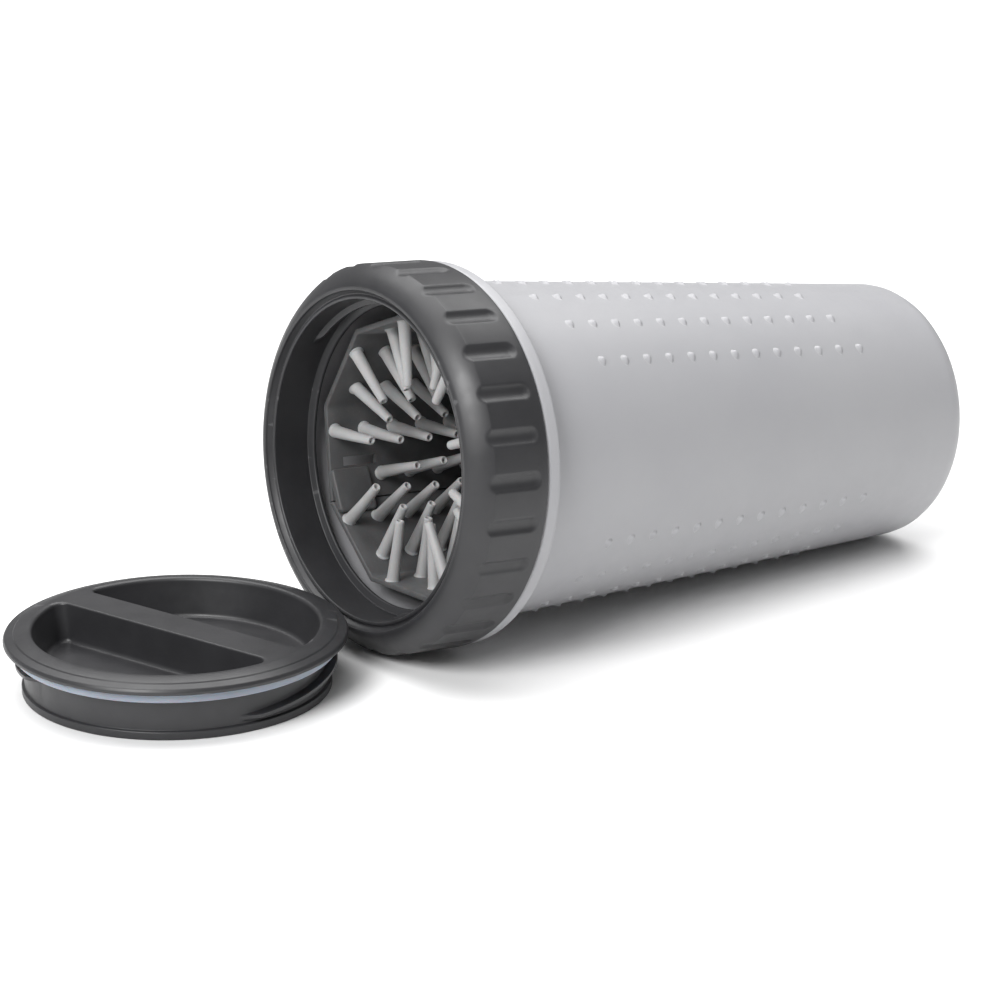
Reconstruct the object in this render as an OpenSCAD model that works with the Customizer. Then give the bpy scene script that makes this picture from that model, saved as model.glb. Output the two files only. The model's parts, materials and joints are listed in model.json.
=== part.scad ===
// Paw washer cup: a tapered tumbler lying on its side, a screw-on grip collar round its
// mouth, a rolled silicone bristle insert inside, and a twist-off lid lying in front.
// Millimetres, +Z up, the cup's length along +X with the mouth towards -X. The origin is on
// the resting surface, under the middle of the whole set.

/* [Cup] */
// Length of the cup from the mouth of the collar to the base
cup_l = 218; // [200:1:240]
// Outer diameter of the tumbler at its base
base_d = 85.7; // [80:0.1:92]
// Outer diameter of the tumbler just behind its flange
shoulder_d = 106.7; // [105:0.1:108]
// Wall thickness of the tumbler
wall = 2.4; // [2:0.1:3]
// Rounding of the tumbler's base edge
base_round = 9.8; // [6:0.2:12]

/* [Collar] */
// Outer diameter of the collar
collar_d = 120; // [119:0.5:122]
// Length of the collar along the cup
collar_l = 26; // [25:0.5:28]
// Number of grip flutes round the collar
flutes = 28; // [20:4:32]
// Depth of each grip flute
flute_depth = 1; // [0.6:0.1:1.4]

/* [Insert] */
// Number of flat panels in the rolled insert
panels = 9; // [7:2:11]
// Distance from the axis to the insert's corners at its mouth end
insert_r = 45.6; // [44:0.1:46]
// Distance from the axis to the insert's corners at its base end
insert_end_r = 41; // [38:0.1:41.5]
// Thickness of the silicone sheet
sheet_t = 1.8; // [1.2:0.1:2.4]
// Distance from the axis to the bristle tips
tip_r = 21.5; // [18:0.5:26]
// Spacing of the bristles along the cup
bristle_pitch = 11; // [10:0.5:16]

/* [Lid] */
// Outer diameter of the lid's flange
lid_d = 103.6; // [102:0.2:104.6]
// Height of the lid
lid_h = 19.3; // [18:0.1:21]
// Width of the bar handle across the lid
bar_w = 12.5; // [9:0.5:16]
// Turn of the bar handle as the lid lies on the surface
bar_turn = 15.6; // [-90:0.2:90]
// Gap between the cup's mouth centre and the lid's centre, along the cup
lid_gap = 60; // [59:0.5:90]
// Sideways offset of the lid from the cup's axis
lid_side = 11.5; // [0:0.5:14]

/* [Hidden] */
$fn = 96;
eps = 0.05;

// Collar: radii from its outer wall inwards, stations from its mouth face backwards
collar_r = collar_d / 2;
rim_r = collar_r - 6.5;
seat_r = collar_r - 8;
bore_r = collar_r - 10.7;
inner_wall_r = bore_r + 1.6;
ledge_r = collar_r - 13;
skirt_in_r = collar_r - 3.6;
seat_front = 0.6;
seat_back = 2.8;
channel_roof = 4.4;
ledge_front = 14.2;
ledge_back = 16;
rear_chamfer = 0.6;
shoulder_l = 6.3;
shoulder_end = 30;
shoulder_start = 2 * atan2(collar_r - rim_r, shoulder_l) - shoulder_end;
shoulder_arc = norm([collar_r - rim_r, shoulder_l]) / 2 / sin((shoulder_start - shoulder_end) / 2);
flute_cut_r = 4;
flute_end = collar_l - 5.5;

// Tumbler: neck inside the collar, flange behind it, tapered wall, rounded base
base_r = base_d / 2;
shoulder_r = shoulder_d / 2;
neck_in_r = inner_wall_r + 0.3;
neck_out_r = neck_in_r + wall;
seal_gap = 0.05;
seal_t = 1.6;
rim_station = channel_roof + seal_t + 2 * seal_gap;
flange_r = collar_r - 0.45;
flange_front = collar_l + 0.3;
flange_back = flange_front + 4.8;
flange_round = 1.2;
base_t = 3;

// Threads: the collar's has three starts, the lid's has two steeper ones
collar_thread_lead = 12;
collar_thread_starts = 3;
collar_thread_span = 90;
lid_thread_lead = 24;
lid_thread_starts = 2;
thread_root_w = 1.7;
thread_tip_w = 0.9;
thread_bite = 0.4;
thread_runout = 8;
male_station = 12;
thread_offset = 1.8;
bore_thread_station = 8.9;
bore_thread_span = 50;
bore_thread_turn = 123;
plug_thread_z = 4.35;
plug_thread_span = 98;
plug_thread_turn = -99;

// Pose of the cup: it rests on the collar's rear edge and on its base edge
rest_station = collar_l - rear_chamfer;
tilt = asin((collar_r - base_r) / (cup_l - base_round - rest_station));
axis_z = collar_r * cos(tilt) + rest_station * sin(tilt);
set_max_x = (cup_l - base_round) * cos(tilt) + (base_r - base_round) * sin(tilt) + base_round;
set_min_x = -lid_gap - lid_d / 2;
mouth_x = -(set_max_x + set_min_x) / 2;
mouth_y = -(lid_side + lid_d / 2 - collar_r) / 2;

// Insert
insert_front = 16.8;
insert_back = cup_l - 23;
panel_step = 360 / panels;
insert_turn = -2.5;
seam_gap = 0.6;
first_row = 19.5;
bristle_r = 2;
bristle_tip_r = 1.4;
bristle_nose = 0.5;
tab_w = 14;
tab_l = 14;
tab_t = 1.5;
tab_turn = 63.5;
tab_reach = atan2(tab_w / 2 + bristle_r, insert_r * cos(panel_step / 2));
slot_w = 3;
slot_l = 12.5;
slot_turn = 76.5;

// Lid
lid_r = lid_d / 2;
flange_z = 15.6;
flange_edge_top = 17.2;
plug_band_r = collar_r - 13.3;
plug_r = plug_band_r - 0.9;
plug_band_h = 3;
groove_low = 12.2;
groove_r = plug_r - 0.4;
gasket_in_r = groove_r + 0.3;
gasket_r = bore_r - 0.4;
gasket_gap = 0.1;
bowl_r = collar_r - 17;
bowl_floor_r = bowl_r - 3.5;
bowl_floor = 7;
lid_wall = 2.2;

// Points of an arc of radius r round [x, y], from angle a to angle b
function arc(x, y, r, a, b, n = 6) =
    [for (i = [0:n]) let (t = a + (b - a) * i / n) [x + r * cos(t), y + r * sin(t)]];

// Outer radius of the tumbler's tapered wall at a station along the cup
function wall_r(s) =
    shoulder_r + (base_r - shoulder_r) * (s - flange_back) / (cup_l - flange_back);

// Distance from the axis to the insert's corners at a station along the cup
function corner_r(s) =
    insert_r + (insert_end_r - insert_r) * (s - insert_front) / (insert_back - insert_front);

// Places a cup part, drawn with its mouth at z = 0 and its base up, in the resting pose
module in_cup() {
    translate([mouth_x, mouth_y, axis_z]) rotate([0, 90 + tilt, 0]) children();
}

// Places a lid part, drawn upright about the z axis, where the lid lies
module in_lid() {
    translate([mouth_x - lid_gap, mouth_y + lid_side, 0]) children();
}

// One raised helical ridge: root radius, tip radius, height at its start and arc that it spans
module ridge(root_r, tip_r, z0, span, lead, n = 24) {
    function height(i) = min(1, span * min(i, n - i) / n / thread_runout);
    function section(i) =
        let (a = span * i / n, z = z0 + lead * a / 360, k = height(i))
        let (r1 = root_r + (tip_r - root_r) * (0.25 + 0.75 * k), h = thread_tip_w / 2 * (0.4 + 0.6 * k))
        [for (q = [[root_r, -thread_root_w / 2], [r1, -h], [r1, h], [root_r, thread_root_w / 2]])
            [q[0] * cos(a), q[0] * sin(a), z + q[1]]];
    inward = tip_r < root_r;
    sides = [for (i = [0:n - 1], j = [0:3]) let (p = 4 * i + j, q = 4 * i + (j + 1) % 4)
        each [[p, q, q + 4], [p, q + 4, p + 4]]];
    caps = [[0, 2, 1], [0, 3, 2], [4 * n, 4 * n + 1, 4 * n + 2], [4 * n, 4 * n + 2, 4 * n + 3]];
    faces = concat(sides, caps);
    polyhedron(
        points = [for (i = [0:n]) each section(i)],
        faces = inward ? [for (f = faces) [f[2], f[1], f[0]]] : faces
    );
}

// The starts of one thread, evenly spread
module thread(root_r, tip_r, z0, span, starts, lead) {
    for (k = [0:starts - 1]) rotate([0, 0, 360 * k / starts])
        ridge(root_r, tip_r, z0, span, lead);
}

module collar_thread(root_r, tip_r, z0) {
    thread(root_r, tip_r, z0, collar_thread_span, collar_thread_starts, collar_thread_lead);
}

module lid_thread(root_r, tip_r, z0, span, turn) {
    rotate([0, 0, turn]) thread(root_r, tip_r, z0, span, lid_thread_starts, lid_thread_lead);
}

// Outline of the tumbler's wall: inside from the rim to the base, then back outside
module tumbler_outline() {
    inner_round = base_round - wall;
    inner_base = cup_l - base_t;
    polygon(concat(
        [[0, cup_l], [0, inner_base]],
        arc(wall_r(inner_base) - wall - inner_round, inner_base - inner_round, inner_round, 90, 0),
        [[wall_r(flange_back + 3) - wall, flange_back + 3], [neck_in_r, flange_back - 3]],
        [[neck_in_r, rim_station], [neck_out_r, rim_station], [neck_out_r, flange_front]],
        arc(flange_r - flange_round, flange_front + flange_round, flange_round, -90, 0, 4),
        arc(flange_r - flange_round, flange_back - flange_round, flange_round, 0, 90, 4),
        [[shoulder_r + 2.2, flange_back], [shoulder_r + 0.6, flange_back + 0.6]],
        [[wall_r(flange_back + 2.6), flange_back + 2.6]],
        arc(base_r - base_round, cup_l - base_round, base_round, 3, 90, 8)
    ));
}

module tumbler() {
    color("lightgray") in_cup() {
        rotate_extrude() tumbler_outline();
        collar_thread(neck_out_r - thread_bite, neck_out_r + 1.7, male_station);
    }
}

// Outline of the collar: rounded front, grip wall, channel for the tumbler's neck, bore
module collar_outline() {
    polygon(concat(
        [[seat_r, seat_front], [seat_r + 0.5, 0], [rim_r, 0]],
        [for (i = [1:8]) let (t = shoulder_start - (shoulder_start - shoulder_end) * i / 8)
            [rim_r + shoulder_arc * (cos(t) - cos(shoulder_start)),
             shoulder_arc * (sin(shoulder_start) - sin(t))]],
        [[collar_r, collar_l - rear_chamfer], [collar_r - rear_chamfer, collar_l]],
        [[skirt_in_r + 0.6, collar_l], [skirt_in_r, collar_l - 0.6], [skirt_in_r, channel_roof]],
        [[inner_wall_r, channel_roof], [inner_wall_r, ledge_back], [ledge_r, ledge_back]],
        [[ledge_r, ledge_front + 0.8], [bore_r - 0.4, ledge_front], [bore_r, ledge_front - 0.4]],
        [[bore_r, seat_back]]
    ));
}

// The shape that cuts one flute: round, with a tapered rear end
module flute_cutter() {
    rotate_extrude($fn = 48) polygon([
        [0, -1], [flute_cut_r, -1], [flute_cut_r, flute_end],
        [flute_cut_r - 1.1, flute_end + 2.2], [0, flute_end + 2.6]
    ]);
}

module collar() {
    color("dimgray") in_cup() {
        difference() {
            rotate_extrude() collar_outline();
            for (i = [0:flutes - 1]) rotate([0, 0, 360 * (i + 0.5) / flutes])
                translate([collar_r + flute_cut_r - flute_depth, 0, 0]) flute_cutter();
        }
        collar_thread(skirt_in_r + thread_bite, skirt_in_r - 2, male_station + thread_offset);
        lid_thread(bore_r + thread_bite, bore_r - 1.7, bore_thread_station, bore_thread_span,
            bore_thread_turn);
    }
}

module collar_seal() {
    color("gray") in_cup() translate([0, 0, channel_roof + seal_gap]) difference() {
        cylinder(r = skirt_in_r - 0.6, h = seal_t);
        translate([0, 0, -1]) cylinder(r = inner_wall_r + 0.3, h = seal_t + 2);
    }
}

// Puts a child on panel i: x outwards, y across the panel, z along it towards the base
module on_panel(i) {
    flat = cos(panel_step / 2);
    lean = atan((insert_r - insert_end_r) * flat / (insert_back - insert_front));
    rotate([0, 0, insert_turn + panel_step * i]) translate([insert_r * flat, 0, insert_front])
        rotate([0, -lean, 0]) children();
}

// One flat panel of the rolled sheet, its outer face in the plane x = 0
module panel(gap_left) {
    half = tan(panel_step / 2) * cos(panel_step / 2);
    len = norm([insert_back - insert_front, (insert_r - insert_end_r) * cos(panel_step / 2)]);
    rotate([0, -90, 0]) linear_extrude(height = sheet_t) polygon([
        [0, -insert_r * half + gap_left],
        [len, -insert_end_r * half + gap_left],
        [len, insert_end_r * half],
        [0, insert_r * half]
    ]);
}

module insert_sheet() {
    color("gray") in_cup() difference() {
        union() {
            for (i = [0:panels - 1]) on_panel(i) panel(i == 2 ? seam_gap : 0);
            rotate([0, 0, tab_turn + insert_turn])
                translate([insert_r * cos(panel_step / 2) - sheet_t - tab_t + 0.3, -tab_w / 2, insert_front])
                    cube([tab_t, tab_w, tab_l]);
        }
        rotate([0, 0, slot_turn + insert_turn])
            translate([insert_r - 12, -slot_w / 2, insert_front + 5]) cube([14, slot_w, slot_l]);
    }
}

// One bristle standing on the sheet and pointing at the axis
module bristle(len) {
    rotate([0, -90, 0]) rotate_extrude($fn = 24) polygon([
        [0, 0], [bristle_r, 0], [bristle_tip_r, len - bristle_nose],
        [bristle_tip_r - bristle_nose, len], [0, len]
    ]);
}

module insert_bristles() {
    inner = sheet_t + eps;
    color("darkgray") in_cup() for (i = [0:panels - 1], side = [-1, 1]) {
        start = first_row + (side < 0 ? bristle_pitch / 2 : 0);
        for (s = [start:bristle_pitch:insert_back - 5]) {
            flat = corner_r(s) * cos(panel_step / 2) - inner;
            foot = flat / cos(panel_step / 4) - bristle_r * tan(panel_step / 4);
            turn = panel_step * (i + side / 4);
            on_tab = abs(turn - tab_turn) < tab_reach && s < insert_front + tab_l + bristle_r;
            if (!on_tab) rotate([0, 0, insert_turn + turn]) translate([foot, 0, s])
                bristle(foot - tip_r);
        }
    }
}

module lid_outline() {
    polygon(concat(
        [[0, bowl_floor - lid_wall], [bowl_floor_r, bowl_floor - lid_wall]],
        [[plug_r - lid_wall - 1.2, bowl_floor - lid_wall], [plug_r - lid_wall, 0]],
        [[plug_band_r - 0.6, 0], [plug_band_r, 0.6], [plug_band_r, plug_band_h - 0.6]],
        [[plug_r, plug_band_h], [plug_r, groove_low], [groove_r, groove_low], [groove_r, flange_z]],
        [[lid_r - 0.5, flange_z], [lid_r, flange_z + 0.5], [lid_r, flange_edge_top - 0.5]],
        [[lid_r - 0.7, flange_edge_top + 0.3], [lid_r - 2.8, lid_h - 1], [bowl_r + 1.2, lid_h]],
        arc(bowl_r + 1.2, lid_h - 1.2, 1.2, 90, 180, 4),
        [[bowl_floor_r + 1, bowl_floor + 1.4], [bowl_floor_r - 0.6, bowl_floor], [0, bowl_floor]]
    ));
}

module lid() {
    bar_h = lid_h - bowl_floor + 1;
    color("dimgray") in_lid() {
        difference() {
            union() {
                rotate_extrude() lid_outline();
                rotate([0, 0, bar_turn]) intersection() {
                    translate([-bar_w / 2, -bowl_r - 1, bowl_floor - 1])
                        cube([bar_w, 2 * bowl_r + 2, bar_h]);
                    cylinder(r = bowl_r + 0.8, h = lid_h - 0.3);
                }
            }
            rotate([0, 0, bar_turn]) translate([-bar_w / 2 + lid_wall, -bowl_floor_r + 2, -1])
                cube([bar_w - 2 * lid_wall, 2 * bowl_floor_r - 4, lid_h - lid_wall]);
        }
        lid_thread(plug_r - thread_bite, plug_band_r + 1.7, plug_thread_z, plug_thread_span,
            plug_thread_turn);
    }
}

module lid_gasket() {
    color("lightsteelblue") in_lid() translate([0, 0, groove_low + gasket_gap]) difference() {
        cylinder(r = gasket_r, h = flange_z - groove_low - 2 * gasket_gap);
        translate([0, 0, -1]) cylinder(r = gasket_in_r, h = flange_z - groove_low + 2);
    }
}

tumbler();
collar();
collar_seal();
insert_sheet();
insert_bristles();
lid();
lid_gasket();
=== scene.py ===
"""Looks of the paw washer cup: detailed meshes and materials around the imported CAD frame."""
import json
import math
import random

import bmesh
import bpy
import numpy as np
from mathutils import Matrix, Vector
from mathutils.geometry import tessellate_polygon


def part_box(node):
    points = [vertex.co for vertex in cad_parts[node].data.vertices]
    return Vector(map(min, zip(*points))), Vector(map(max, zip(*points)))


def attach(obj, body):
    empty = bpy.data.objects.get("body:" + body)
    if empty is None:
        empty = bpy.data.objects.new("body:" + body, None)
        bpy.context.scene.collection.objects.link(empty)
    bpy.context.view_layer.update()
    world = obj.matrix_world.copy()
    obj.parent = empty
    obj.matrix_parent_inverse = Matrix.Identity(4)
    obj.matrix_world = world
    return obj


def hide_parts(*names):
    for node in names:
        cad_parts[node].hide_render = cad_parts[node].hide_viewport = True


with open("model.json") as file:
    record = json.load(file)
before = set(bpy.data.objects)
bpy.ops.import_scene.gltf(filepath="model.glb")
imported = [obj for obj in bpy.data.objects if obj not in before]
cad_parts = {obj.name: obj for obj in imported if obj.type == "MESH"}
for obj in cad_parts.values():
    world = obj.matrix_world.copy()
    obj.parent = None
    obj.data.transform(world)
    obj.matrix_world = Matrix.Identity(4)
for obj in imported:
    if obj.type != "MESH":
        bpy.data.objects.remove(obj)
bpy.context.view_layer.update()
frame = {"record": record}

# ---------------------------------------------------------------------------
# Places, all taken from the frame. Meshes are written in millimetres in the
# cup's own frame (z from the mouth to the base, x down, y across) or in the
# lid's own frame (z up from the surface it lies on), and scaled to metres.
# ---------------------------------------------------------------------------
MM = 0.001
JOINTS = {joint["name"]: joint for joint in frame["record"]["behaviour"]["joints"]}
MOUTH = Vector(JOINTS["collar_turn"]["pos_m"])
CUP_AXIS = -Vector(JOINTS["collar_turn"]["axis"]).normalized()
LID_CENTRE = Vector(JOINTS["lid_turn"]["pos_m"])


def cup_frame():
    """Matrix from the cup's own frame to the row frame."""
    across = Vector((0, 1, 0))
    down = across.cross(CUP_AXIS)
    matrix = Matrix((down, across, CUP_AXIS)).transposed().to_4x4()
    matrix.translation = MOUTH
    return matrix


CUP = cup_frame()
LID = Matrix.Translation(LID_CENTRE)

# Collar: radii and stations behind the mouth, from its outer radius and length
COLLAR_R = (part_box("collar")[1][1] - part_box("collar")[0][1]) / 2 / MM
COLLAR_L = 26
RIM_R = COLLAR_R - 6.5
SEAT_R = COLLAR_R - 8
BORE_R = COLLAR_R - 10.7
LEDGE_R = COLLAR_R - 13
INNER_WALL_R = BORE_R + 1.6
SKIRT_IN_R = COLLAR_R - 3.6
CHANNEL_ROOF = 4.4
LEDGE_FRONT = 14.2
LEDGE_BACK = 16
SHOULDER_L = 6.3
SHOULDER_END_SLOPE = math.radians(30)
FLUTES = 28
FLUTE_CUT_R = 4
FLUTE_DEPTH = 1
FLUTE_END = COLLAR_L - 5.5

# Threads: three starts between tumbler and collar, two steep ones between collar and lid.
# A turn is where a ridge begins, a span is how far it runs round, both in degrees.
COLLAR_THREAD_LEAD = 12
COLLAR_THREAD_STARTS = 3
COLLAR_THREAD_SPAN = 90
NECK_THREAD_STATION = 12
NECK_THREAD_H = 1.7
SKIRT_THREAD_STATION = 13.8
SKIRT_THREAD_H = 2.0
LID_THREAD_LEAD = 24
LID_THREAD_STARTS = 2
BORE_THREAD_TURN = 123
BORE_THREAD_STATION = 8.9
BORE_THREAD_SPAN = 50
BORE_THREAD_H = 1.7
PLUG_THREAD_TURN = -99
PLUG_THREAD_Z = 4.35
PLUG_THREAD_SPAN = 98

# Tumbler
CUP_L = 218
SHOULDER_R = 53.35
BASE_R = 42.85
WALL = 2.4
BASE_T = 3
BASE_ROUND = 9.8
NECK_IN_R = INNER_WALL_R + 0.3
NECK_OUT_R = NECK_IN_R + WALL
RIM_STATION = CHANNEL_ROOF + 1.7
FLANGE_R = COLLAR_R - 0.45
FLANGE_FRONT = COLLAR_L + 0.3
FLANGE_BACK = FLANGE_FRONT + 4.8
WALL_FRONT = FLANGE_BACK + 2.6
BASE_FLAT_R = BASE_R / 2 - 3

# Insert: nine flat panels, bristles in staggered columns
PANELS = 9
PANEL_STEP = 360 / PANELS
INSERT_TURN = -2.5
INSERT_FRONT = 16.8
INSERT_BACK = CUP_L - 23
INSERT_R = 45.6
INSERT_END_R = 41
SHEET_T = 1.8
TIP_R = 21.5
BRISTLE_PITCH = 11
FIRST_ROW = 19.5

# Lid
LID_H = 19.3
LID_R = 51.8
BAR_W = 12.5
BAR_TURN = 15.6
BOWL_R = COLLAR_R - 17
BOWL_FLOOR = 7
PLUG_BAND_R = COLLAR_R - 13.3
PLUG_R = PLUG_BAND_R - 0.9
GROOVE_LOW = 12.2
FLANGE_UNDER = 15.6
PLUG_THREAD_R = BORE_R - 0.9
UNDER_Z = BOWL_FLOOR - 2.2


# ---------------------------------------------------------------------------
# Mesh tools
# ---------------------------------------------------------------------------
class Builder:
    """Collects the vertices and faces of one piece, in millimetres."""

    def __init__(self):
        self.points = []
        self.faces = []

    def add(self, points):
        """Adds an array of points of any shape (..., 3) and returns their indices in that shape."""
        points = np.asarray(points, dtype=float)
        start = len(self.points)
        self.points.extend(map(tuple, points.reshape(-1, 3)))
        return np.arange(start, start + points.size // 3).reshape(points.shape[:-1])

    def quads(self, grid, close_rows=False, close_cols=False):
        """Faces of a grid of indices, wrapping round its rows or columns where asked."""
        rows = np.vstack([grid, grid[:1]]) if close_rows else grid
        rows = np.hstack([rows, rows[:, :1]]) if close_cols else rows
        block = np.stack([rows[:-1, :-1], rows[1:, :-1], rows[1:, 1:], rows[:-1, 1:]], axis=-1)
        self.faces.extend(map(tuple, block.reshape(-1, 4)))

    def bridge(self, loop_a, loop_b):
        """Faces between two closed loops with the same number of points."""
        self.quads(np.stack([loop_a, loop_b]), close_cols=True)

    def fan(self, loop, tip):
        """Faces from a closed loop to one point."""
        tip_index = int(self.add([tip])[0])
        for here, there in zip(loop, np.roll(loop, -1)):
            self.faces.append((int(here), int(there), tip_index))

    def flat(self, outer, *holes):
        """Faces that fill a flat outline, leaving its holes open."""
        loops = [outer, *holes]
        flat_loops = [[Vector(self.points[i]) for i in loop] for loop in loops]
        order = [int(i) for loop in loops for i in loop]
        for triangle in tessellate_polygon(flat_loops):
            self.faces.append(tuple(order[i] for i in triangle))

    def make(self, name, matrix, material, body, nodes=()):
        """Makes the object in the row frame, gives it its material and rides it on a body."""
        mesh = bpy.data.meshes.new(name)
        mesh.from_pydata([matrix @ (Vector(p) * MM) for p in self.points], [], self.faces)
        work = bmesh.new()
        work.from_mesh(mesh)
        bmesh.ops.remove_doubles(work, verts=work.verts, dist=0.002 * MM)
        bmesh.ops.dissolve_degenerate(work, edges=work.edges, dist=0.001 * MM)
        bmesh.ops.recalc_face_normals(work, faces=work.faces)
        work.to_mesh(mesh)
        work.free()
        mesh.shade_smooth()
        mesh.set_sharp_from_angle(angle=math.radians(50))
        mesh.materials.append(material)
        piece = bpy.data.objects.new(name, mesh)
        bpy.context.collection.objects.link(piece)
        if nodes:
            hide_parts(*nodes)
        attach(piece, body)
        return piece


def fillet(before, corner, after, radius):
    """Points that round one corner of an outline."""
    corner, before, after = (np.array(p, dtype=float) for p in (corner, before, after))
    back, ahead = before - corner, after - corner
    back_len, ahead_len = np.linalg.norm(back), np.linalg.norm(ahead)
    back, ahead = back / back_len, ahead / ahead_len
    half = math.acos(np.clip(back @ ahead, -1, 1)) / 2
    turn = math.pi - 2 * half
    if radius <= 0 or turn < math.radians(4):
        return [corner]
    reach = min(radius / math.tan(half), 0.48 * back_len, 0.48 * ahead_len)
    radius = reach * math.tan(half)
    middle = (back + ahead) / np.linalg.norm(back + ahead)
    centre = corner + middle * radius / math.sin(half)
    steps = max(2, math.ceil(turn / math.radians(16)))
    start = corner + back * reach - centre
    side = corner + ahead * reach - centre
    points = []
    for i in range(steps + 1):
        part = i / steps
        blend = (math.sin((1 - part) * turn) * start + math.sin(part * turn) * side) / math.sin(turn)
        points.append(centre + blend)
    return points


def outline(corners, closed=True):
    """An outline in (radius, station) from corners (radius, station, rounding, step).

    The stretch after a corner is divided into pieces no longer than its step, if it has one."""
    corners = [tuple(c) + (0,) * (4 - len(c)) for c in corners]
    count = len(corners)
    rounded = []
    for i, (r, s, radius, _) in enumerate(corners):
        at_end = not closed and i in (0, count - 1)
        before, after = corners[i - 1][:2], corners[(i + 1) % count][:2]
        rounded.append([np.array((r, s), dtype=float)] if at_end else fillet(before, (r, s), after, radius))
    points = []
    for i, group in enumerate(rounded):
        points.extend(group)
        step = corners[i][3]
        if step and (closed or i < count - 1):
            start, end = group[-1], rounded[(i + 1) % count][0]
            pieces = max(1, math.ceil(np.linalg.norm(end - start) / step))
            points.extend(start + (end - start) * k / pieces for k in range(1, pieces))
    return np.array(points)


def around(angles, r, s):
    """Points at an angle, radius and station: arrays of the same shape, angles in degrees."""
    turn = np.radians(angles)
    return np.stack([r * np.cos(turn), r * np.sin(turn), s], axis=-1)


def smooth(x):
    """Ease from 0 to 1."""
    x = np.clip(x, 0, 1)
    return x * x * (3 - 2 * x)


def helix(angle, station, first, start_station, span, height, zone, starts, lead):
    """Lift and shift that raise helical ridges on a round wall.

    The rows of points near start_station follow the ridge, so that its flanks stay clean."""
    sector = 360 / starts
    along = np.mod(angle - first, sector)
    rise = lead / 360 * np.where(along <= span, along, span * (sector - along) / (sector - span))
    ends = smooth(np.minimum(along, span - along) / 9)
    offset = np.abs(station - start_station)
    across = smooth((1.05 - offset) / 0.5)
    low, high = zone
    below = smooth((station - low) / max(start_station - 1.2 - low, 0.1))
    above = smooth((high - station) / max(high - start_station - 1.2, 0.1))
    return height * ends * across, rise * np.minimum(below, above)


# ---------------------------------------------------------------------------
# Materials
# ---------------------------------------------------------------------------
def new_material(name):
    material = bpy.data.materials.new(name)
    material.use_nodes = True
    nodes, links = material.node_tree.nodes, material.node_tree.links
    return material, nodes, links, nodes["Principled BSDF"]


def noise(nodes, links, scale, detail=3.0, roughness=0.55):
    """Noise over the piece's own coordinates. The scale is in cycles a metre."""
    coordinates = nodes.new("ShaderNodeTexCoord")
    texture = nodes.new("ShaderNodeTexNoise")
    texture.inputs["Scale"].default_value = scale
    texture.inputs["Detail"].default_value = detail
    texture.inputs["Roughness"].default_value = roughness
    links.new(coordinates.outputs["Object"], texture.inputs["Vector"])
    return texture.outputs["Fac"]


def spread(nodes, links, value, low, high, start=0.3, end=0.7):
    """Maps a texture's middle range to low..high."""
    node = nodes.new("ShaderNodeMapRange")
    node.inputs["From Min"].default_value = start
    node.inputs["From Max"].default_value = end
    node.inputs["To Min"].default_value = low
    node.inputs["To Max"].default_value = high
    links.new(value, node.inputs["Value"])
    return node.outputs["Result"]


def mix_colours(nodes, links, factor, first, second):
    """Mixes two colours, each a tuple or another node's output."""
    node = nodes.new("ShaderNodeMix")
    node.data_type = "RGBA"
    links.new(factor, node.inputs["Factor"])
    for socket, colour in ((node.inputs[6], first), (node.inputs[7], second)):
        if isinstance(colour, tuple):
            socket.default_value = (*colour, 1)
        else:
            links.new(colour, socket)
    return node.outputs[2]


def bump(nodes, links, height, strength, distance, below=None):
    """A bump node, optionally on top of another one's normal."""
    node = nodes.new("ShaderNodeBump")
    node.inputs["Strength"].default_value = strength
    node.inputs["Distance"].default_value = distance
    links.new(height, node.inputs["Height"])
    if below is not None:
        links.new(below, node.inputs["Normal"])
    return node.outputs["Normal"]


def painted_edge_highlight(nodes, links, start, end, most):
    """Painted edge highlight: 0 on faces and hollows, rising to most on sharp outer edges."""
    geometry = nodes.new("ShaderNodeNewGeometry")
    return spread(nodes, links, geometry.outputs["Pointiness"], 0, most, start, end)


def dark_plastic():
    """Charcoal moulded plastic with a fine satin spark texture and painted highlights that lighten its
    sharp edges.
    """
    material, nodes, links, shader = new_material("dark_plastic")
    tone = spread(nodes, links, noise(nodes, links, 55, 4), 0, 1)
    base = mix_colours(nodes, links, tone, (0.019, 0.019, 0.0207), (0.025, 0.025, 0.0272))
    # Painted highlight: sharp outer edges are mixed towards a light grey, standing in for light caught on
    # them.
    edges = painted_edge_highlight(nodes, links, 0.53, 0.62, 0.35)
    colour = mix_colours(nodes, links, edges, base, (0.16, 0.16, 0.165))
    links.new(colour, shader.inputs["Base Color"])
    rub = noise(nodes, links, 140, 5, 0.6)
    links.new(spread(nodes, links, rub, 0.36, 0.47), shader.inputs["Roughness"])
    grain = bump(nodes, links, noise(nodes, links, 2600, 2), 0.16, 0.00006)
    wave = bump(nodes, links, noise(nodes, links, 90, 2), 0.12, 0.0004, grain)
    links.new(wave, shader.inputs["Normal"])
    shader.inputs["Specular IOR Level"].default_value = 0.5
    return material


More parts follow.
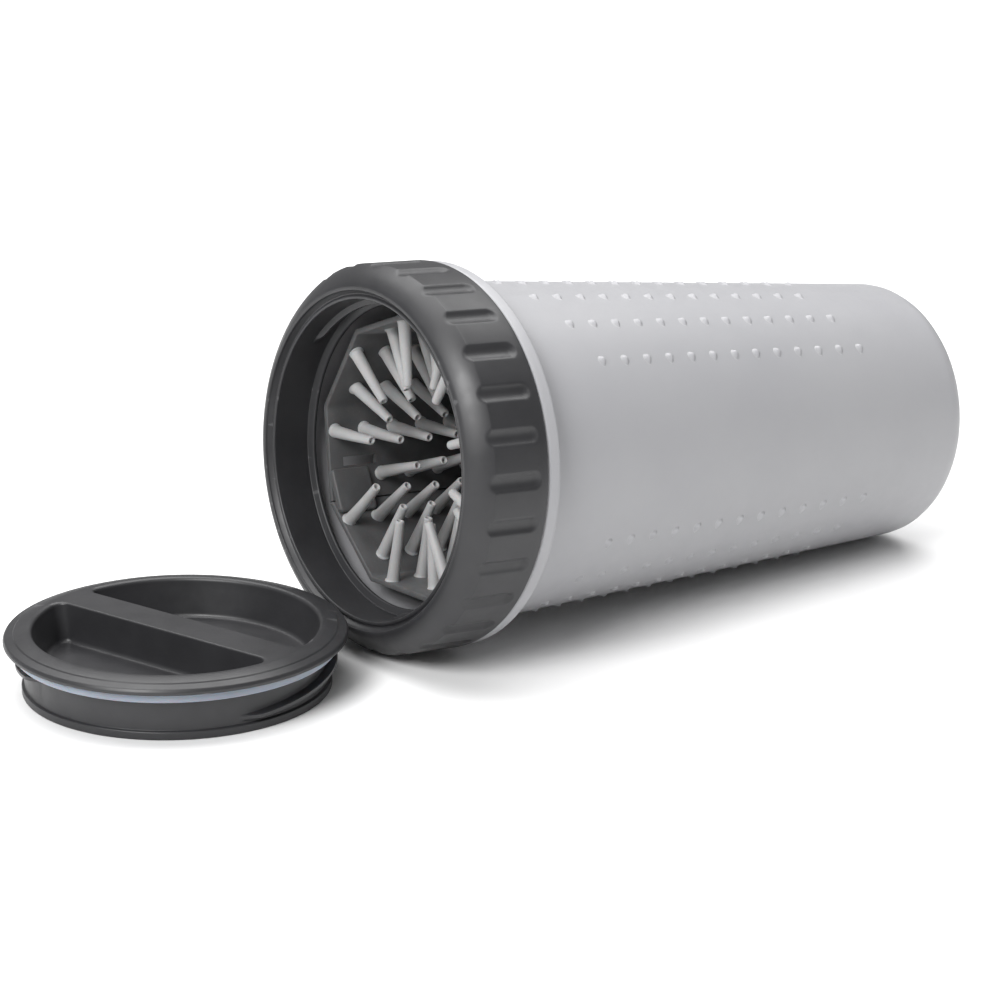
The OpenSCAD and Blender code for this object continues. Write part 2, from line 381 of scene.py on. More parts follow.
def frosted_plastic():
    """Translucent frosted grey plastic: light scatters in it, its surface is finely etched and its sharp
    edges carry a painted highlight.
    """
    material, nodes, links, shader = new_material("frosted_plastic")
    cloud = spread(nodes, links, noise(nodes, links, 16, 3), 0, 1)
    base = mix_colours(nodes, links, cloud, (0.335, 0.335, 0.35), (0.36, 0.36, 0.372))
    # Painted highlight: sharp outer edges, such as the flange's, are mixed towards a pale grey as bright
    # edge lines.
    edges = painted_edge_highlight(nodes, links, 0.52, 0.60, 0.5)
    colour = mix_colours(nodes, links, edges, base, (0.62, 0.62, 0.63))
    links.new(colour, shader.inputs["Base Color"])
    links.new(spread(nodes, links, noise(nodes, links, 220, 4), 0.40, 0.52), shader.inputs["Roughness"])
    frost = bump(nodes, links, noise(nodes, links, 3800, 2), 0.22, 0.00005)
    flow = bump(nodes, links, noise(nodes, links, 42, 2), 0.10, 0.0005, frost)
    links.new(flow, shader.inputs["Normal"])
    shader.inputs["Subsurface Weight"].default_value = 0.25
    shader.inputs["Subsurface Radius"].default_value = (1.0, 1.0, 1.05)
    shader.inputs["Subsurface Scale"].default_value = 0.0012
    shader.inputs["IOR"].default_value = 1.49
    return material


def silicone(name, dark, light, rough_low, rough_high):
    """Matte silicone: soft sheen, faint mottling, a skin of fine dust and mould grain."""
    material, nodes, links, shader = new_material(name)
    mottle = spread(nodes, links, noise(nodes, links, 120, 4), 0, 1)
    base = mix_colours(nodes, links, mottle, dark, light)
    dust = spread(nodes, links, noise(nodes, links, 1700, 3, 0.7), 0, 0.35, 0.60, 0.78)
    pale = tuple(min(1, c * 1.8 + 0.04) for c in light)
    links.new(mix_colours(nodes, links, dust, base, pale), shader.inputs["Base Color"])
    links.new(spread(nodes, links, noise(nodes, links, 300, 4), rough_low, rough_high),
              shader.inputs["Roughness"])
    grain = bump(nodes, links, noise(nodes, links, 1500, 3), 0.15, 0.00008)
    links.new(grain, shader.inputs["Normal"])
    shader.inputs["Subsurface Weight"].default_value = 0.15
    shader.inputs["Subsurface Scale"].default_value = 0.0015
    shader.inputs["Sheen Weight"].default_value = 0.12
    shader.inputs["Sheen Roughness"].default_value = 0.45
    return material


def gasket_silicone():
    """Milky blue-grey silicone that light scatters in."""
    material, nodes, links, shader = new_material("gasket_silicone")
    milk = spread(nodes, links, noise(nodes, links, 70, 3), 0, 1)
    base = mix_colours(nodes, links, milk, (0.24, 0.275, 0.33), (0.29, 0.325, 0.385))
    links.new(base, shader.inputs["Base Color"])
    links.new(spread(nodes, links, noise(nodes, links, 260, 3), 0.34, 0.44), shader.inputs["Roughness"])
    links.new(bump(nodes, links, noise(nodes, links, 900, 2), 0.10, 0.0001), shader.inputs["Normal"])
    shader.inputs["Subsurface Weight"].default_value = 0.5
    shader.inputs["Subsurface Scale"].default_value = 0.002
    shader.inputs["IOR"].default_value = 1.41
    return material


# ---------------------------------------------------------------------------
# Tumbler
# ---------------------------------------------------------------------------
def wall_r(station):
    """Radius of the plain taper from the shoulder to the base. The inside follows it."""
    return SHOULDER_R + (BASE_R - SHOULDER_R) * (station - FLANGE_BACK) / (CUP_L - FLANGE_BACK)


def outside_r(station):
    """The tumbler's outside radius: straight from the flange to where the base's rounding begins."""
    end = CUP_L - BASE_ROUND
    start_r = wall_r(WALL_FRONT)
    return start_r + (BASE_R - start_r) * (station - WALL_FRONT) / (end - WALL_FRONT)


def tumbler_mesh(material):
    """One revolved wall, outside and inside, with the neck's thread and the flange."""
    inner_base = CUP_L - BASE_T
    corners = [
        (2, CUP_L, 0, 6), (BASE_FLAT_R, CUP_L, 0, 0),
        (outside_r(CUP_L), CUP_L, BASE_ROUND, 0), (wall_r(WALL_FRONT), WALL_FRONT, 2.5, 0),
        (SHOULDER_R + 1.2, FLANGE_BACK, 1.2, 0), (FLANGE_R, FLANGE_BACK, 1.1, 0),
        (FLANGE_R, FLANGE_FRONT, 1.1, 0), (NECK_OUT_R, FLANGE_FRONT, 0.6, 0), (NECK_OUT_R, 21, 0, 0.3),
        (NECK_OUT_R, 7.5, 0, 0), (NECK_OUT_R, RIM_STATION, 0.5, 0), (NECK_IN_R, RIM_STATION, 0.5, 0),
        (NECK_IN_R, FLANGE_BACK - 3, 2, 0), (wall_r(FLANGE_BACK + 3) - WALL, FLANGE_BACK + 3, 2, 0),
        (wall_r(inner_base) - WALL, inner_base, BASE_ROUND - WALL, 0), (2, inner_base, 0, 0),
    ]
    shape = outline(corners, closed=False)
    angles = np.arange(256) * 360 / 256
    angle, r = np.meshgrid(angles, shape[:, 0], indexing="ij")
    s = np.broadcast_to(shape[:, 1], r.shape)
    lift, shift = helix(angle, s, 0, NECK_THREAD_STATION, COLLAR_THREAD_SPAN, NECK_THREAD_H, (8, 20.5),
                        COLLAR_THREAD_STARTS, COLLAR_THREAD_LEAD)
    on_neck = (np.abs(r - NECK_OUT_R) < 0.01) & (s > 7) & (s < 21)
    build = Builder()
    grid = build.add(around(angle, r + lift * on_neck, s + shift * on_neck))
    build.quads(grid, close_rows=True)
    build.fan(grid[:, 0], (0, 0, CUP_L))
    build.fan(grid[:, -1], (0, 0, inner_base))
    return build.make("tumbler_wall", CUP, material, "tumbler", ["tumbler"])


# Rows of grip bumps run along the wall, all round it apart from a plain field for a mark.
# Rows close to that field begin further back. Angles are in degrees from +y towards up.
BUMP_ROWS = 22
FIRST_BUMP_ROW = 88
MARK_CENTRE = 170
MARK_HALF = 26
BUMP_PITCH = 9.3
BUMP_LAST = 173
BUMP_HEIGHT = 0.8
BUMP_HALF_L = 1.55
BUMP_HALF_W = 2.15
BUMP_SKEW = 0.35
BUMP_LEAN_ALONG = 0.45
BUMP_LEAN_AROUND = -0.75
ROW_START = 49.5
ROW_SET_BACK = 11.5
SET_BACK_REACH = 82
SET_BACK_FADE = 50


def bump_rows():
    """(angle, first station) of each row of bumps."""
    for k in range(BUMP_ROWS):
        angle = FIRST_BUMP_ROW + 360 * k / BUMP_ROWS
        away = abs((angle - MARK_CENTRE + 180) % 360 - 180)
        if away > MARK_HALF:
            near = min(1, max(0, (SET_BACK_REACH - away) / SET_BACK_FADE))
            yield angle, ROW_START + ROW_SET_BACK * near ** 1.3


def grip_bumps(material):
    """Small leaning teardrops that swell out of the wall."""
    build = Builder()
    rings, sides = 7, 20
    taper = math.atan((SHOULDER_R - BASE_R) / (CUP_L - FLANGE_BACK))
    turn = np.arange(sides) * 2 * math.pi / sides
    for angle, station in bump_rows():
        while station < BUMP_LAST:
            part = np.linspace(1, 0.12, rings)[:, None]
            skew = 1 - BUMP_SKEW * np.sin(turn)
            along = part * BUMP_HALF_L * np.cos(turn) * skew + (1 - part) * BUMP_LEAN_ALONG
            around_wall = part * BUMP_HALF_W * np.sin(turn) + (1 - part) * BUMP_LEAN_AROUND
            height = BUMP_HEIGHT * (0.5 + 0.5 * np.cos(math.pi * part ** 1.25)) - 0.03 * part
            height = np.broadcast_to(height, along.shape)
            spot = station + along
            r = outside_r(spot) + height * math.cos(taper)
            s = spot + height * math.sin(taper)
            # local angles count from x (down) towards y; rows count from y towards up
            local = angle + 90 + np.degrees(around_wall / wall_r(station))
            grid = build.add(around(local, r, s))
            build.quads(grid, close_cols=True)
            apex = np.mean([build.points[i] for i in grid[-1]], axis=0)
            outward = apex * np.array([1, 1, 0]) / np.linalg.norm(apex[:2])
            build.fan(grid[-1], apex + outward * 0.012)
            root = np.mean([build.points[i] for i in grid[0]], axis=0)
            build.fan(grid[0], root - outward * 0.3)
            station += BUMP_PITCH
    return build.make("tumbler_grip_bumps", CUP, material, "tumbler", [])


# ---------------------------------------------------------------------------
# Collar and its seal
# ---------------------------------------------------------------------------
def shoulder_points():
    """The collar's shoulder: a shallow arc that meets the grip wall at a clear edge."""
    chord = math.atan2(COLLAR_R - RIM_R, SHOULDER_L)
    sweep = 2 * (chord - SHOULDER_END_SLOPE)
    length = math.hypot(COLLAR_R - RIM_R, SHOULDER_L)
    radius = length / 2 / math.sin(sweep / 2)
    points = []
    slope = chord + sweep / 2
    steps = 14
    for i in range(steps + 1):
        part = i / steps * sweep
        r = RIM_R + radius * (math.cos(slope - part) - math.cos(slope))
        s = radius * (math.sin(slope) - math.sin(slope - part))
        points.append((r, s))
    return points


def flute_floor(angle, station):
    """Radius that the flutes cut the collar down to, large between them."""
    pitch = 360 / FLUTES
    away = np.radians(np.mod(angle, pitch) - pitch / 2)
    past = np.clip(station - FLUTE_END, 0, FLUTE_CUT_R)
    cut = np.sqrt(np.maximum(FLUTE_CUT_R ** 2 - past ** 2, 0))
    centre = COLLAR_R + FLUTE_CUT_R - FLUTE_DEPTH
    inside = cut ** 2 - (centre * np.sin(away)) ** 2
    return np.where(inside > 0, centre * np.cos(away) - np.sqrt(np.maximum(inside, 0)), centre)


def soft_min(a, b, blend):
    """The smaller of two, rounded where they cross."""
    mix = np.clip(0.5 + 0.5 * (b - a) / blend, 0, 1)
    return b + (a - b) * mix - blend * mix * (1 - mix)


def collar_mesh(material):
    """The collar's one closed outline turned round the axis, with its flutes and both threads."""
    corners = [(SEAT_R, 0.7, 0.25, 0), (SEAT_R + 0.2, 0, 0.4, 0), (RIM_R - 0.25, 0, 0.2, 0)]
    corners += [(r, s, 0, 0) for r, s in shoulder_points()[1:-1]]
    corners += [
        (COLLAR_R, SHOULDER_L, 0.25, 0.8), (COLLAR_R, 19.6, 0, 0.33), (COLLAR_R, 23.8, 0, 0),
        (COLLAR_R, COLLAR_L, 0.6, 0), (SKIRT_IN_R, COLLAR_L, 0.5, 0), (SKIRT_IN_R, 22, 0, 0.35),
        (SKIRT_IN_R, 9, 0, 0), (SKIRT_IN_R, CHANNEL_ROOF, 0.3, 0), (INNER_WALL_R, CHANNEL_ROOF, 0.3, 0),
        (INNER_WALL_R, LEDGE_BACK, 0.3, 0), (LEDGE_R, LEDGE_BACK, 0.35, 0),
        (LEDGE_R, LEDGE_FRONT + 0.7, 0.5, 0), (BORE_R, LEDGE_FRONT, 0.45, 0), (BORE_R, 13.7, 0, 0.28),
        (BORE_R, 4.2, 0, 0), (BORE_R, 1.5, 0.7, 0), (BORE_R + 1.0, 1.5, 0.5, 0),
        (BORE_R + 1.6, 2.3, 0.4, 0),
    ]
    shape = outline(corners)
    steps = FLUTES * 26
    angle, r = np.meshgrid(np.arange(steps) * 360 / steps, shape[:, 0], indexing="ij")
    s = np.broadcast_to(shape[:, 1], r.shape)
    outer = r > RIM_R
    outer &= s < FLUTE_END + FLUTE_CUT_R
    outer &= (r > SKIRT_IN_R + 0.5) | (s < SHOULDER_L)
    fluted = np.where(outer, soft_min(r, flute_floor(angle, s), 0.12), r)
    bore = (np.abs(r - BORE_R) < 0.01) & (s > 4) & (s < 13.75)
    lift, shift = helix(angle, s, BORE_THREAD_TURN, BORE_THREAD_STATION, BORE_THREAD_SPAN,
                        BORE_THREAD_H, (5.5, 13.6), LID_THREAD_STARTS, LID_THREAD_LEAD)
    skirt = (np.abs(r - SKIRT_IN_R) < 0.01) & (s > 8.9) & (s < 22.1)
    skirt_lift, skirt_shift = helix(angle, s, 0, SKIRT_THREAD_STATION, COLLAR_THREAD_SPAN,
                                    SKIRT_THREAD_H, (9.2, 21.8), COLLAR_THREAD_STARTS,
                                    COLLAR_THREAD_LEAD)
    build = Builder()
    r = fluted - lift * bore - skirt_lift * skirt
    grid = build.add(around(angle, r, s + shift * bore + skirt_shift * skirt))
    build.quads(grid, close_rows=True, close_cols=True)
    return build.make("collar_shell", CUP, material, "collar", ["collar"])


def ring(name, corners, steps, matrix, material, body, node):
    """A closed outline turned round the axis."""
    shape = outline(corners)
    angle, r = np.meshgrid(np.arange(steps) * 360 / steps, shape[:, 0], indexing="ij")
    build = Builder()
    grid = build.add(around(angle, r, np.broadcast_to(shape[:, 1], r.shape)))
    build.quads(grid, close_rows=True, close_cols=True)
    return build.make(name, matrix, material, body, [node])


def collar_seal(material):
    """Flat seal with a low bead on its front face."""
    low, high = CHANNEL_ROOF + 0.05, CHANNEL_ROOF + 1.65
    inner, outer = INNER_WALL_R + 0.3, SKIRT_IN_R - 0.6
    middle = (inner + outer) / 2
    corners = [
        (inner, low + 0.15, 0.3), (middle - 0.9, low + 0.15, 0.2), (middle - 0.5, low, 0.2),
        (middle + 0.5, low, 0.2), (middle + 0.9, low + 0.15, 0.2), (outer, low + 0.15, 0.3),
        (outer, high, 0.35), (inner, high, 0.35),
    ]
    return ring("seal_ring", corners, 192, CUP, material, "seal", "collar_seal")


# ---------------------------------------------------------------------------
# Insert
# ---------------------------------------------------------------------------
def corner_r(station):
    """Distance from the axis to the insert's corners."""
    part = (station - INSERT_FRONT) / (INSERT_BACK - INSERT_FRONT)
    return INSERT_R + (INSERT_END_R - INSERT_R) * part


def panel_scale(angle):
    """Radius of the panels' rounded nine-sided outline, where their corners are at about 1."""
    away = np.radians(np.mod(angle - INSERT_TURN + PANEL_STEP / 2, PANEL_STEP) - PANEL_STEP / 2)
    flat = math.cos(math.radians(PANEL_STEP / 2))
    here = flat / np.cos(away)
    neighbour = flat / np.cos(math.radians(PANEL_STEP) - np.abs(away))
    return soft_min(here, neighbour, 0.006)


# The seam is at a corner, the pull tab bridges it and the slot is in the next panel. Angles are
# in degrees from x (down) towards y.
SEAM_ANGLE = INSERT_TURN + 1.5 * PANEL_STEP
SEAM_HALF = 0.3
SLOT_ANGLE = 74
SLOT_HALF = 1.5
SLOT_FRONT = INSERT_FRONT + 5
SLOT_L = 12.5
TAB_ANGLE = 61
TAB_W = 14
TAB_L = 14
TAB_T = 1.5
TAB_REACH = 12
BRISTLE_R = 2
LAST_ROW_GAP = 5


def insert_sheet_mesh(material):
    """The rolled sheet: an open strip with a seam, living hinges at its corners and a slot."""
    build = Builder()
    half_seam = math.degrees(SEAM_HALF / INSERT_R)
    half_slot = math.degrees(SLOT_HALF / (INSERT_R * 0.96))
    angles = np.linspace(SEAM_ANGLE + half_seam, SEAM_ANGLE + 360 - half_seam, 400)
    slot_sides = [SLOT_ANGLE - half_slot, SLOT_ANGLE + half_slot]
    keep = [a for a in angles if all(abs(a - side) > 0.5 for side in slot_sides)]
    angles = np.sort(np.array(keep + slot_sides))
    stations = [INSERT_FRONT + 0.35, SLOT_FRONT, SLOT_FRONT + SLOT_L]
    stations += list(np.linspace(SLOT_FRONT + SLOT_L + 8, INSERT_BACK - 0.35, 18))
    stations = np.array(stations)

    def surface(inward, station):
        """Points of one side of the sheet, which is set in from the outline."""
        angle, s = np.meshgrid(angles, station, indexing="ij")
        flat = math.cos(math.radians(PANEL_STEP / 2))
        r = panel_scale(angle) * (corner_r(s) - inward / flat)
        return around(angle, r, s)

    outer = build.add(surface(0, stations))
    inner = build.add(surface(SHEET_T, stations))
    front = [build.add(surface(d, np.array([INSERT_FRONT + z]))[:, 0])
             for d, z in ((0.12, 0.12), (0.35, 0), (SHEET_T - 0.35, 0), (SHEET_T - 0.12, 0.12))]
    back = [build.add(surface(d, np.array([INSERT_BACK - z]))[:, 0])
            for d, z in ((SHEET_T - 0.12, 0.12), (SHEET_T - 0.35, 0), (0.35, 0), (0.12, 0.12))]
    around_front = np.stack([outer[:, 0], *front, inner[:, 0]], axis=1)
    around_back = np.stack([inner[:, -1], *back, outer[:, -1]], axis=1)
    build.quads(around_front)
    build.quads(around_back)
    first = int(np.where(np.isclose(angles, slot_sides[0]))[0][0])
    last = int(np.where(np.isclose(angles, slot_sides[1]))[0][0])
    for side in (outer, inner):
        build.quads(side[: first + 1])
        build.quads(side[last:])
        build.quads(side[first : last + 1, :2])
        build.quads(side[first : last + 1, 2:])
    rim = [(i, 1) for i in range(first, last)] + [(last, 1)]
    rim += [(i, 2) for i in range(last, first, -1)] + [(first, 2)]
    rim_outer = np.array([outer[i] for i in rim])
    rim_inner = np.array([inner[i] for i in rim])
    build.bridge(rim_outer, rim_inner)
    for end in (0, -1):
        loop = list(outer[end]) + list(around_back[end][::-1][1:-1]) + list(inner[end][::-1])
        loop += list(around_front[end][::-1][1:-1])
        build.faces.append(tuple(int(i) for i in loop))
    add_tab(build)
    return build.make("insert_sheet_rolled", CUP, material, "insert", ["insert_sheet"])


def rounded_rectangle(half_x, half_y, radius, per_corner=7, per_side=6):
    """Points round a rectangle with round corners."""
    points = []
    for corner, (sx, sy) in enumerate(((1, 1), (-1, 1), (-1, -1), (1, -1))):
        centre = np.array((sx * (half_x - radius), sy * (half_y - radius)))
        for i in range(per_corner):
            turn = math.radians(90 * corner + 90 * i / (per_corner - 1))
            points.append(centre + radius * np.array((math.cos(turn), math.sin(turn))))
        following = ((-1, 1), (-1, -1), (1, -1), (1, 1))[corner]
        turn = math.radians(90 * (corner + 1))
        goal = np.array((following[0] * (half_x - radius), following[1] * (half_y - radius)))
        goal = goal + radius * np.array((math.cos(turn), math.sin(turn)))
        start = points[-1]
        points.extend(start + (goal - start) * k / per_side for k in range(1, per_side))
    return np.array(points)


def add_tab(build):
    """The pull tab over the seam, a thick plate with rounded edges at the sheet's front."""
    turn = math.radians(TAB_ANGLE)
    outward = np.array((math.cos(turn), math.sin(turn), 0))
    side = np.array((-math.sin(turn), math.cos(turn), 0))
    along = np.array((0, 0, 1.0))
    face_r = INSERT_R * math.cos(math.radians(PANEL_STEP / 2)) - SHEET_T
    centre = along * (INSERT_FRONT - 0.1 + TAB_L / 2)
    loops = []
    for inset, depth in ((0, 0.6), (0, -0.9), (0.1, -1.2), (0.35, -1.42), (0.7, -TAB_T)):
        flat = rounded_rectangle(TAB_W / 2 - inset, TAB_L / 2 - inset, 1.2 - min(inset, 0.7))
        middle = centre + outward * (face_r + depth)
        loops.append(build.add([middle + side * p[0] + along * p[1] for p in flat]))
    for a, b in zip(loops, loops[1:]):
        build.bridge(a, b)
    build.faces.append(tuple(int(i) for i in loops[0]))
    build.faces.append(tuple(int(i) for i in loops[-1]))


def bristles(material):
    """Tapered rods that stand on the sheet and point at the axis, each with its own slight bend."""
    draws = random.Random(7)
    build = Builder()
    sides = 18
    circle = np.arange(sides) * 2 * math.pi / sides
    flat_scale = math.cos(math.radians(PANEL_STEP / 2))
    for panel in range(PANELS):
        for side in (-1, 1):
            angle = math.radians(INSERT_TURN + PANEL_STEP * (panel + side / 4))
            inward = -np.array((math.cos(angle), math.sin(angle), 0))
            across = np.array((-math.sin(angle), math.cos(angle), 0))
            along = np.array((0, 0, 1.0))
            station = FIRST_ROW + (BRISTLE_PITCH / 2 if side < 0 else 0)
            if abs(math.degrees(angle) - TAB_ANGLE) < TAB_REACH:
                while station < INSERT_FRONT + TAB_L + BRISTLE_R:
                    station += BRISTLE_PITCH
            while station < INSERT_BACK - LAST_ROW_GAP:
                flat = corner_r(station) * flat_scale - SHEET_T
                foot_r = flat / math.cos(math.radians(PANEL_STEP / 4))
                length = foot_r - TIP_R
                shape = [
                    (2.5, -0.5), (2.5, 0.02), (2.2, 0.2), (2.06, 0.6), (BRISTLE_R, 1.4),
                    (1.86, length * 0.3), (1.68, length * 0.55), (1.52, length * 0.8),
                    (1.42, length - 0.7), (1.38, length - 0.25), (1.24, length - 0.05),
                    (1.05, length), (0.86, length - 0.05), (0.72, length - 0.3), (0.6, length - 0.9),
                    (0.3, length - 1.1),
                ]
                lean = np.array((draws.gauss(0, 0.35), draws.gauss(0, 0.45)))
                bend = np.array((draws.gauss(0, 0.25), draws.gauss(0, 0.3)))
                base = -inward * foot_r + along * station
                rows = []
                for r, height in shape:
                    part = max(0, height) / length
                    drift = lean * part + bend * part ** 2
                    middle = base + inward * height + across * drift[0] + along * drift[1]
                    rows.append([middle + r * (math.cos(t) * across + math.sin(t) * along) for t in circle])
                grid = build.add(rows)
                build.quads(grid, close_cols=True)
                tip = np.mean([build.points[i] for i in grid[-1]], axis=0)
                build.fan(grid[-1], tip - inward * 0.03)
                root = np.mean([build.points[i] for i in grid[0]], axis=0)
                build.fan(grid[0], root)
                station += BRISTLE_PITCH
    return build.make("bristles", CUP, material, "insert", ["insert_bristles"])


# ---------------------------------------------------------------------------
# Lid
# ---------------------------------------------------------------------------
def spin_matrix(degrees):
    """Matrix that turns flat points about the lid's centre."""
    turn = math.radians(degrees)
    return np.array(((math.cos(turn), -math.sin(turn)), (math.sin(turn), math.cos(turn))))


def well_loop(outer_r, bar_half, corner, per_arc=110, per_corner=12, per_line=44):
    """A D-shaped loop: a disc cut by the bar's side, with round corners. Also 0..1 from bar to arc."""
    x, reach = bar_half + corner, outer_r - corner
    y = math.sqrt(reach ** 2 - x ** 2)
    arc_turn = math.atan2(y, x)
    points, share = [], []
    for t in np.linspace(-arc_turn, arc_turn, per_arc, endpoint=False):
        points.append((outer_r * math.cos(t), outer_r * math.sin(t)))
        share.append(1.0)
    for i, t in enumerate(np.linspace(arc_turn, math.pi, per_corner, endpoint=False)):
        points.append((x + corner * math.cos(t), y + corner * math.sin(t)))
        share.append(1 - i / per_corner)
    for i in range(per_line):
        points.append((bar_half, y - 2 * y * i / per_line))
        share.append(0.0)
    for i, t in enumerate(np.linspace(math.pi, 2 * math.pi - arc_turn, per_corner, endpoint=False)):
        points.append((x + corner * math.cos(t), -y + corner * math.sin(t)))
        share.append(i / per_corner)
    return np.array(points), smooth(np.array(share))


def add_well(build, side):
    """One finger well beside the bar. Returns the loop at the top, for the flat rim round it."""
    rim_round, bar_round = 1.3, 0.55
    half = BAR_W / 2
    levels = [(BOWL_R + rim_round + 0.2, half - bar_round - 0.2, 3.9, (0, 0))]
    for t in np.radians(np.linspace(0, 90, 7)):
        gap = 1 - math.sin(t)
        drop = (rim_round * (1 - math.cos(t)), bar_round * (1 - math.cos(t)))
        levels.append((BOWL_R + rim_round * gap, half - bar_round * gap, 3.2 + 0.6 * gap, drop))
    depth = LID_H - BOWL_FLOOR
    foot = 1.5
    for part in np.linspace(0.25, 1, 4):
        drop = rim_round + (depth - rim_round - foot) * part
        levels.append((BOWL_R - 2.0 * part, half + 0.5 * part, 3.2 - 0.4 * part, (drop, drop)))
    for t in np.radians(np.linspace(18, 90, 5)):
        drop = depth - foot + foot * math.sin(t)
        inset = foot * (1 - math.cos(t))
        levels.append((BOWL_R - 2.0 - inset, half + 0.5 + inset, 2.8 - 0.5 * inset, (drop, drop)))
    levels.append((BOWL_R - 4.3, half + 2.8, 1.9, (depth + 0.02, depth + 0.02)))
    loops = []
    spin = spin_matrix(BAR_TURN + (0 if side > 0 else 180))
    for outer_r, bar_half, corner, drop in levels:
        flat, share = well_loop(outer_r, bar_half, corner)
        z = LID_H - (drop[0] * share + drop[1] * (1 - share))
        loops.append(build.add(np.column_stack([flat @ spin.T, z])))
    for a, b in zip(loops, loops[1:]):
        build.bridge(a, b)
    build.faces.append(tuple(int(i) for i in loops[-1]))
    return loops[0]


def lid_mesh(material):
    """The lid: a turned flange and plug, two finger wells beside the bar, a hollow under it."""
    build = Builder()
    flat_r, under_r = BOWL_R + 1.9, 37
    corners = [
        (flat_r, LID_H, 0, 0), (flat_r + 0.5, LID_H - 0.02, 0, 0), (LID_R - 3.3, LID_H - 0.75, 0.25, 0),
        (LID_R - 2.95, LID_H - 1.15, 0.2, 0), (LID_R - 0.5, LID_H - 1.75, 0.8, 0),
        (LID_R, FLANGE_UNDER + 1, 0.5, 0), (LID_R, FLANGE_UNDER, 0.45, 0),
        (PLUG_R - 0.4, FLANGE_UNDER, 0.25, 0), (PLUG_R - 0.4, GROOVE_LOW, 0.25, 0),
        (PLUG_R, GROOVE_LOW, 0.15, 0), (PLUG_R, 12, 0, 0.24), (PLUG_R, 3.2, 0, 0),
        (PLUG_R, 2.8, 0.2, 0), (PLUG_BAND_R, 2.5, 0.4, 0), (PLUG_BAND_R, 0, 0.5, 0),
        (PLUG_R - 2, 0, 0.5, 0), (PLUG_R - 3.4, UNDER_Z, 1.2, 0), (under_r, UNDER_Z, 0, 0),
    ]
    shape = outline(corners, closed=False)
    steps = 432
    angle, r = np.meshgrid(np.arange(steps) * 360 / steps, shape[:, 0], indexing="ij")
    z = np.broadcast_to(shape[:, 1], r.shape)
    lift, shift = helix(angle, z, PLUG_THREAD_TURN, PLUG_THREAD_Z, PLUG_THREAD_SPAN,
                        PLUG_THREAD_R - PLUG_R, (3.25, 12), LID_THREAD_STARTS, LID_THREAD_LEAD)
    plug = (np.abs(r - PLUG_R) < 0.01) & (z > 3.1) & (z < 12.05)
    grid = build.add(around(angle, r + lift * plug, z + shift * plug))
    build.quads(grid, close_rows=True)
    wells = [add_well(build, side) for side in (1, -1)]
    build.flat(grid[:, 0], *wells)
    spin = spin_matrix(BAR_TURN)
    loops = []
    half_x, half_y = BAR_W / 2 - 2.2, 33
    for grow, z_here in ((0.9, UNDER_Z), (0.7, UNDER_Z), (0.2, UNDER_Z + 0.2), (0, UNDER_Z + 0.7),
                         (-0.2, LID_H - 4.2), (-0.45, LID_H - 3.2), (-1.2, LID_H - 2.6)):
        flat = rounded_rectangle(half_x + grow, half_y + grow, 2.4 + grow)
        loops.append(build.add(np.column_stack([flat @ spin.T, np.full(len(flat), z_here)])))
    for a, b in zip(loops, loops[1:]):
        build.bridge(a, b)
    build.faces.append(tuple(int(i) for i in loops[-1]))
    build.flat(grid[:, -1], loops[0])
    return build.make("lid_shell", LID, material, "lid", ["lid"])


def lid_gasket(material):
    """Round-edged ring in the groove under the lid's flange."""
    low, high = GROOVE_LOW + 0.1, FLANGE_UNDER - 0.1
    inner, outer = PLUG_R - 0.1, BORE_R - 0.4
    corners = [
        (inner, low, 0.25), (outer - 0.2, low, 0.5), (outer, (low + high) / 2, 1.2),
        (outer - 0.1, high, 0.4), (inner, high, 0.25),
    ]
    return ring("gasket_ring", corners, 256, LID, material, "gasket", "lid_gasket")


# ---------------------------------------------------------------------------
# Studio
# ---------------------------------------------------------------------------
# The camera stands this far from the middle of the mouth, in metres, and looks along its heading
CAMERA_OFFSET = Vector((-0.57403, -0.83291, 0.30719))
CAMERA_HEADING = (0.60158, 0.79882)
CAMERA_PITCH = 17.542
CAMERA_LENS = 125.03
SOFT_LIGHT = 0.28


def floor():
    """A plain pale floor."""
    material, _, _, shader = new_material("studio_floor")
    shader.inputs["Base Color"].default_value = (0.86, 0.86, 0.86, 1)
    shader.inputs["Roughness"].default_value = 0.9
    mesh = bpy.data.meshes.new("studio_floor")
    half, cells = 7.0, 12
    grid = bmesh.new()
    bmesh.ops.create_grid(grid, x_segments=cells, y_segments=cells, size=half)
    grid.to_mesh(mesh)
    grid.free()
    mesh.materials.append(material)
    obj = bpy.data.objects.new("studio_floor", mesh)
    bpy.context.collection.objects.link(obj)


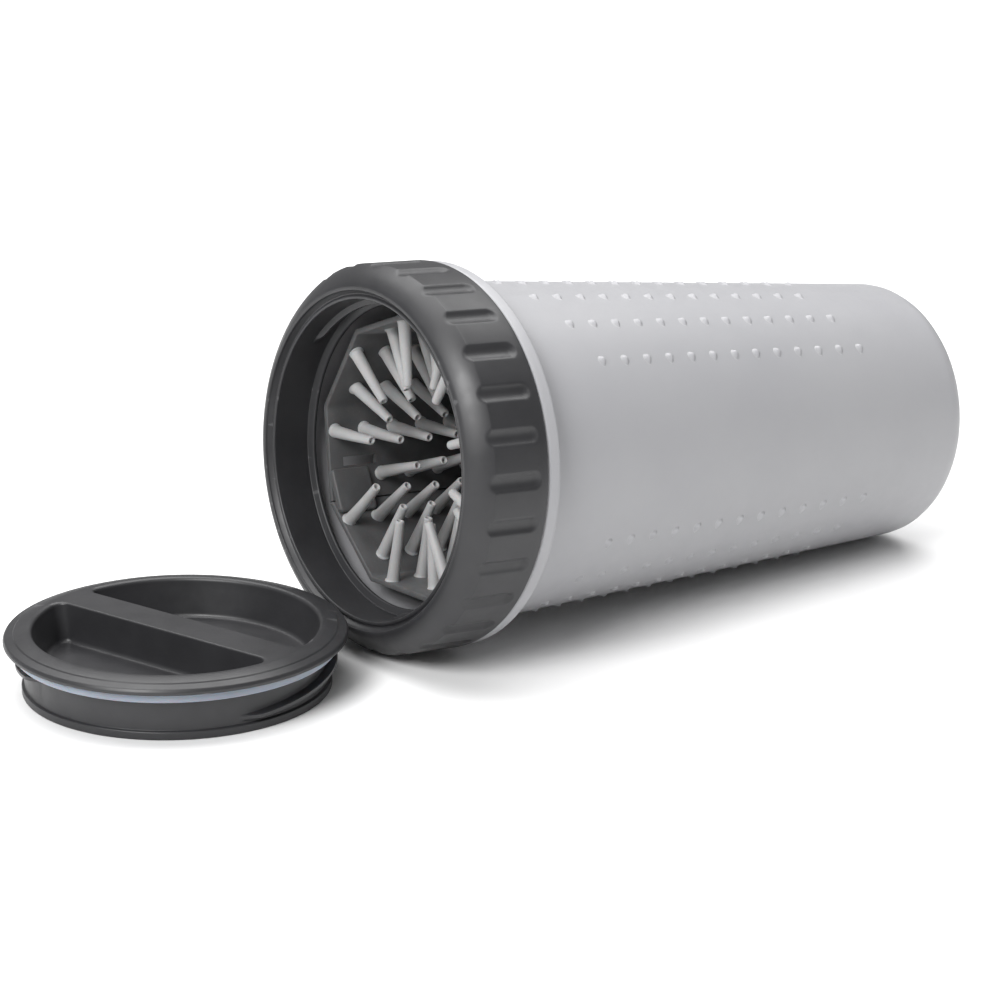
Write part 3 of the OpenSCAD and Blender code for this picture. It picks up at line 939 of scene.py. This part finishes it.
def area_light(name, place, target, size, power):
    light = bpy.data.lights.new(name, "AREA")
    light.shape = "RECTANGLE"
    light.size, light.size_y = size
    light.energy = power
    obj = bpy.data.objects.new(name, light)
    bpy.context.collection.objects.link(obj)
    obj.location = place
    obj.rotation_euler = (Vector(target) - Vector(place)).to_track_quat("-Z", "Y").to_euler()


def studio():
    """Even white surroundings, a wide light overhead and a smaller one at the front left."""
    floor()
    world = bpy.data.worlds.new("studio_world")
    bpy.context.scene.world = world
    world.use_nodes = True
    background = world.node_tree.nodes["Background"]
    background.inputs["Color"].default_value = (1, 1, 1, 1)
    background.inputs["Strength"].default_value = SOFT_LIGHT
    aim = (0.0, 0, 0.05)
    area_light("softbox_overhead", (0.22, 0.40, 1.5), aim, (2.2, 1.6), 44)
    area_light("softbox_front_left", (-1.35, -0.55, 1.15), aim, (0.8, 0.8), 32)


def camera():
    """The camera stands before the mouth and to the cup's right, and looks a little down."""
    lens = bpy.data.cameras.new("camera")
    lens.sensor_width = 36
    lens.lens = CAMERA_LENS
    lens.clip_end = 50
    obj = bpy.data.objects.new("camera", lens)
    bpy.context.collection.objects.link(obj)
    pitch = math.radians(CAMERA_PITCH)
    forward = Vector((*CAMERA_HEADING, 0)).normalized()
    obj.location = MOUTH + CAMERA_OFFSET
    look = forward * math.cos(pitch) - Vector((0, 0, math.sin(pitch)))
    obj.rotation_euler = look.to_track_quat("-Z", "Y").to_euler()
    bpy.context.scene.camera = obj


camera()
studio()
bpy.context.scene.view_settings.view_transform = "Standard"

charcoal = dark_plastic()
frost = frosted_plastic()
# Painted shade: the sheet is the same grey silicone as the bristles, given a much darker colour to stand in
# for the shade inside the cup.
painted_shade_sheet_silicone = silicone("painted_shade_sheet_silicone", (0.060, 0.060, 0.062), (0.080, 0.080, 0.082), 0.5, 0.64)
bristle_silicone = silicone("bristle_silicone", (0.33, 0.33, 0.332), (0.38, 0.38, 0.382), 0.5, 0.64)
seal_rubber = silicone("seal_rubber", (0.30, 0.30, 0.31), (0.36, 0.36, 0.37), 0.45, 0.6)

tumbler_mesh(frost)
grip_bumps(frost)
collar_mesh(charcoal)
collar_seal(seal_rubber)
insert_sheet_mesh(painted_shade_sheet_silicone)
bristles(bristle_silicone)
lid_mesh(charcoal)
lid_gasket(gasket_silicone())
